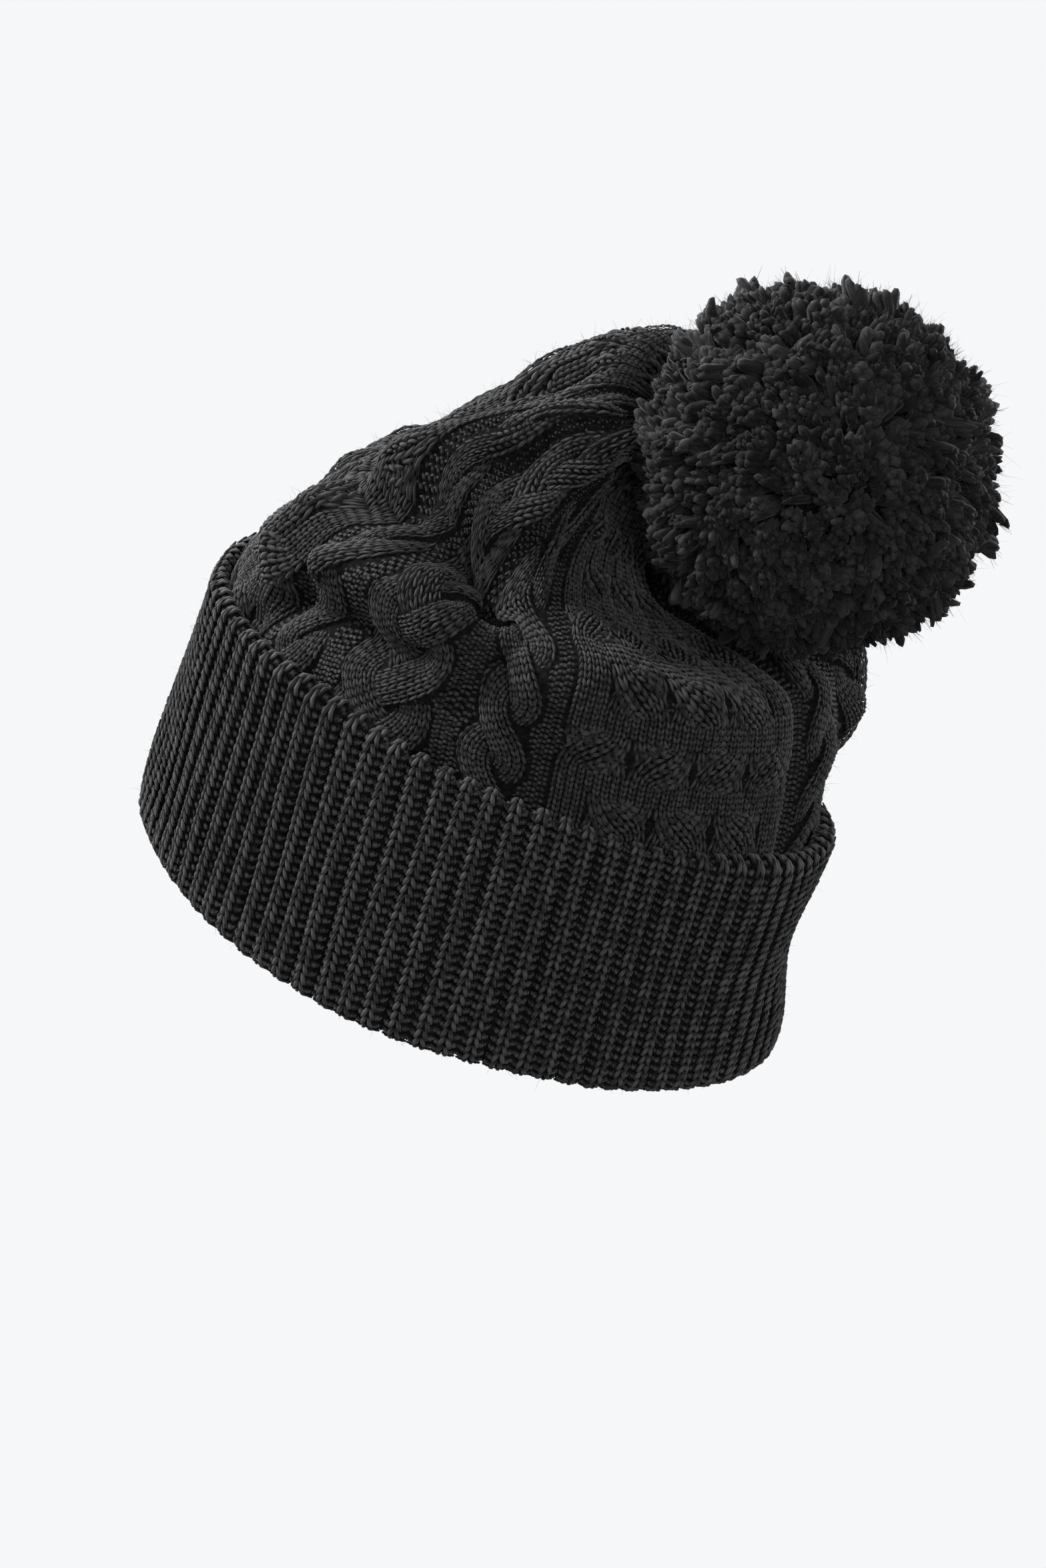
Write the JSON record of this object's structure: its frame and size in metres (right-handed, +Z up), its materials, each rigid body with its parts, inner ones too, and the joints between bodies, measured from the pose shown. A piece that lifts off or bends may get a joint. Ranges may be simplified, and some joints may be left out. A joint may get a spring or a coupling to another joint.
{
  "type": "knit beanie",
  "caption": "Slouchy cable-knit beanie with a deep turned-up rib cuff and a yarn pompom that flops on its tie.",
  "frame": {"origin": "centre of the opening for the head, in the plane of the cuff's bottom edge", "axes": "+Z up through the crown, the wearer faces -X, the crown slouches and the pompom hangs towards +X"},
  "size_m": [0.2337, 0.1796, 0.2449],
  "materials": {
    "rib_knit": "matte chunky rib of black wool-blend yarn",
    "cable_knit": "matte cable knit of black wool-blend yarn",
    "pompom_yarn": "soft cut yarn ends, slightly frayed",
    "tie_cord": "twisted black cord",
    "label_cloth": "plain woven satin, blank"
  },
  "bodies": {
    "root": {"cuff_turn_up": "rib_knit", "rib_band_inner": "rib_knit", "crown_body": "cable_knit", "back_seam": "cable_knit", "care_label": "label_cloth", "gather_thread": "tie_cord", "gather_knot": "tie_cord", "anchor_knot": "tie_cord"},
    "tie_neck_link": {"tie_neck": "tie_cord"},
    "tie_knot_link": {"tie_knot": "tie_cord"},
    "pompom": {"pompom_yarn": "pompom_yarn", "pompom_core": "pompom_yarn", "binding_cord": "tie_cord", "pompom_tie_cord": "tie_cord"}
  },
  "joints": [
    {"name": "pompom_nod", "type": "hinge", "parent": "root", "child": "tie_neck_link", "pos_m": [0.02523, 0, 0.17395], "axis": [0, 1, 0], "range_deg": [-12, 6], "stiffness_Nm_per_rad": 0.6},
    {"name": "pompom_sway", "type": "hinge", "parent": "tie_neck_link", "child": "tie_knot_link", "pos_m": [0.02523, 0, 0.17395], "axis": [-0.342, 0, 0.9397], "range_deg": [-12, 12], "stiffness_Nm_per_rad": 0.4},
    {"name": "pompom_twist", "type": "hinge", "parent": "tie_knot_link", "child": "pompom", "pos_m": [0.02523, 0, 0.17395], "axis": [0.9397, 0, 0.342], "range_deg": [-35, 35], "stiffness_Nm_per_rad": 0.05}
  ]
}
